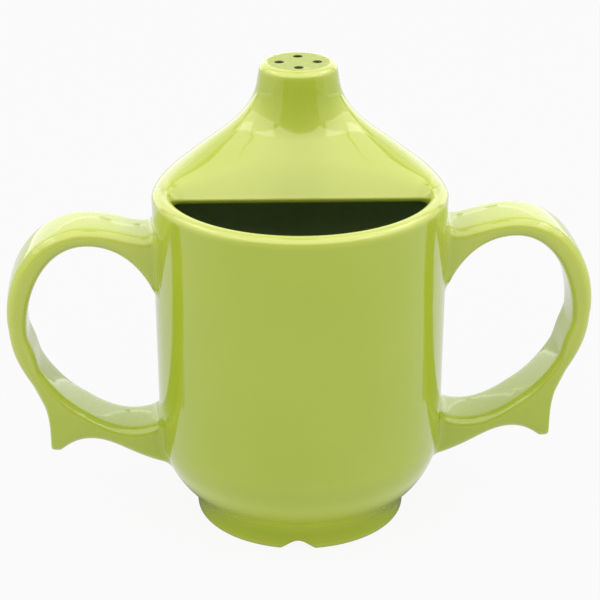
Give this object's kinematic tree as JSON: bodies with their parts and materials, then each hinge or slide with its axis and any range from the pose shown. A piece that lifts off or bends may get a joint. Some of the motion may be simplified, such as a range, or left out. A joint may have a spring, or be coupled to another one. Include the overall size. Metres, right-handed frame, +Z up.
{
  "type": "two-handled feeding cup",
  "caption": "Glazed ceramic feeding cup: half-covered top with an upright pierced spout, open D-shaped filling mouth, and a looped strap handle with a finger spur on each side.",
  "frame": {"origin": "middle of the foot ring's resting face on the table", "axes": "+X towards the right handle, +Y towards the back, under the spout, +Z up; the filling mouth faces -Y"},
  "size_m": [0.16, 0.08, 0.125],
  "materials": {
    "lime_glaze": "gloss",
    "luting_slip": "gloss under the glaze"
  },
  "bodies": {
    "root": {"cup_body": "lime_glaze", "foot_ring": "lime_glaze", "half_cover": "lime_glaze", "spout_tip": "lime_glaze", "left_handle": "lime_glaze", "right_handle": "lime_glaze", "foot_slip": "luting_slip", "cover_slip": "luting_slip", "spout_slip": "luting_slip", "left_handle_slip": "luting_slip", "right_handle_slip": "luting_slip"}
  },
  "joints": []
}
